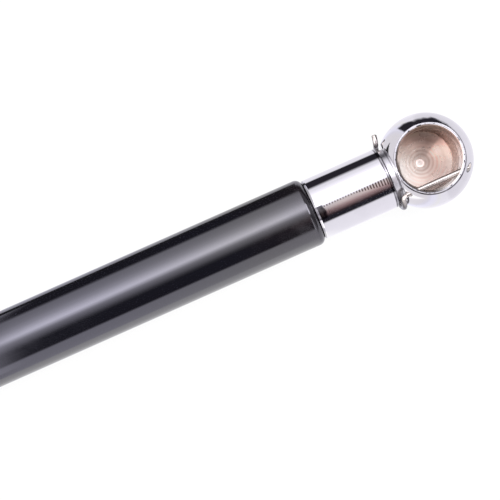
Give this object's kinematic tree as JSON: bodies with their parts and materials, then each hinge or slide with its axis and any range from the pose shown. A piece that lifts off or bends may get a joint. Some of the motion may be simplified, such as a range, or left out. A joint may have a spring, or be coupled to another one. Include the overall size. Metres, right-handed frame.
{
  "type": "tailgate gas strut",
  "caption": "Gas strut for a tailgate: black tube, polished rod and chromed ball sockets with wire safety clips at both ends.",
  "frame": {"origin": "centre of the ball that the socket at the tube's end takes", "axes": "+X runs along the strut towards the rod's end, +Z out of the sockets' mouths"},
  "size_m": [0.4894, 0.0206, 0.0178],
  "materials": {
    "black_paint": "gloss black enamel",
    "chrome_plate": "bright chrome plate",
    "spring_steel": "drawn spring wire",
    "turned_steel": "turned steel",
    "rod_steel": "ground and polished rod",
    "nitrile_rubber": "moulded rubber",
    "bush_brass": "turned brass",
    "piston_alloy": "turned alloy",
    "ring_plastic": "low friction plastic"
  },
  "bodies": {
    "barrel": {"pressure_tube": "black_paint", "tube_socket": "chrome_plate", "end_plug": "turned_steel", "end_plug_oring": "nitrile_rubber", "tube_stud": "turned_steel", "guide_bush": "bush_brass", "guide_oring": "nitrile_rubber", "seal_support_ring": "turned_steel", "rod_seal": "nitrile_rubber", "closing_ring": "turned_steel"},
    "tube_clip": {"tube_clip": "spring_steel"},
    "piston_ring": {"piston_ring": "ring_plastic"},
    "rod": {"piston_rod": "rod_steel", "piston": "piston_alloy", "orifice_disc": "turned_steel", "piston_washer": "turned_steel", "piston_nut": "turned_steel", "rebound_buffer": "nitrile_rubber", "rod_socket": "chrome_plate"},
    "rod_clip": {"rod_clip": "spring_steel"}
  },
  "joints": [
    {"name": "rod_slide", "type": "slide", "parent": "barrel", "child": "piston_ring", "axis": [-1, 0, 0], "range_m": [0, 0.18], "stiffness_N_per_m": 333, "springref_m": -0.6},
    {"name": "rod_spin", "type": "hinge", "parent": "piston_ring", "child": "rod", "pos_m": [0.3, 0, 0], "axis": [1, 0, 0], "continuous": true},
    {"name": "tube_clip_draw", "type": "slide", "parent": "barrel", "child": "tube_clip", "axis": [1, 0, 0], "range_m": [0, 0.014]},
    {"name": "rod_clip_draw", "type": "slide", "parent": "rod", "child": "rod_clip", "axis": [-1, 0, 0], "range_m": [0, 0.014]}
  ]
}
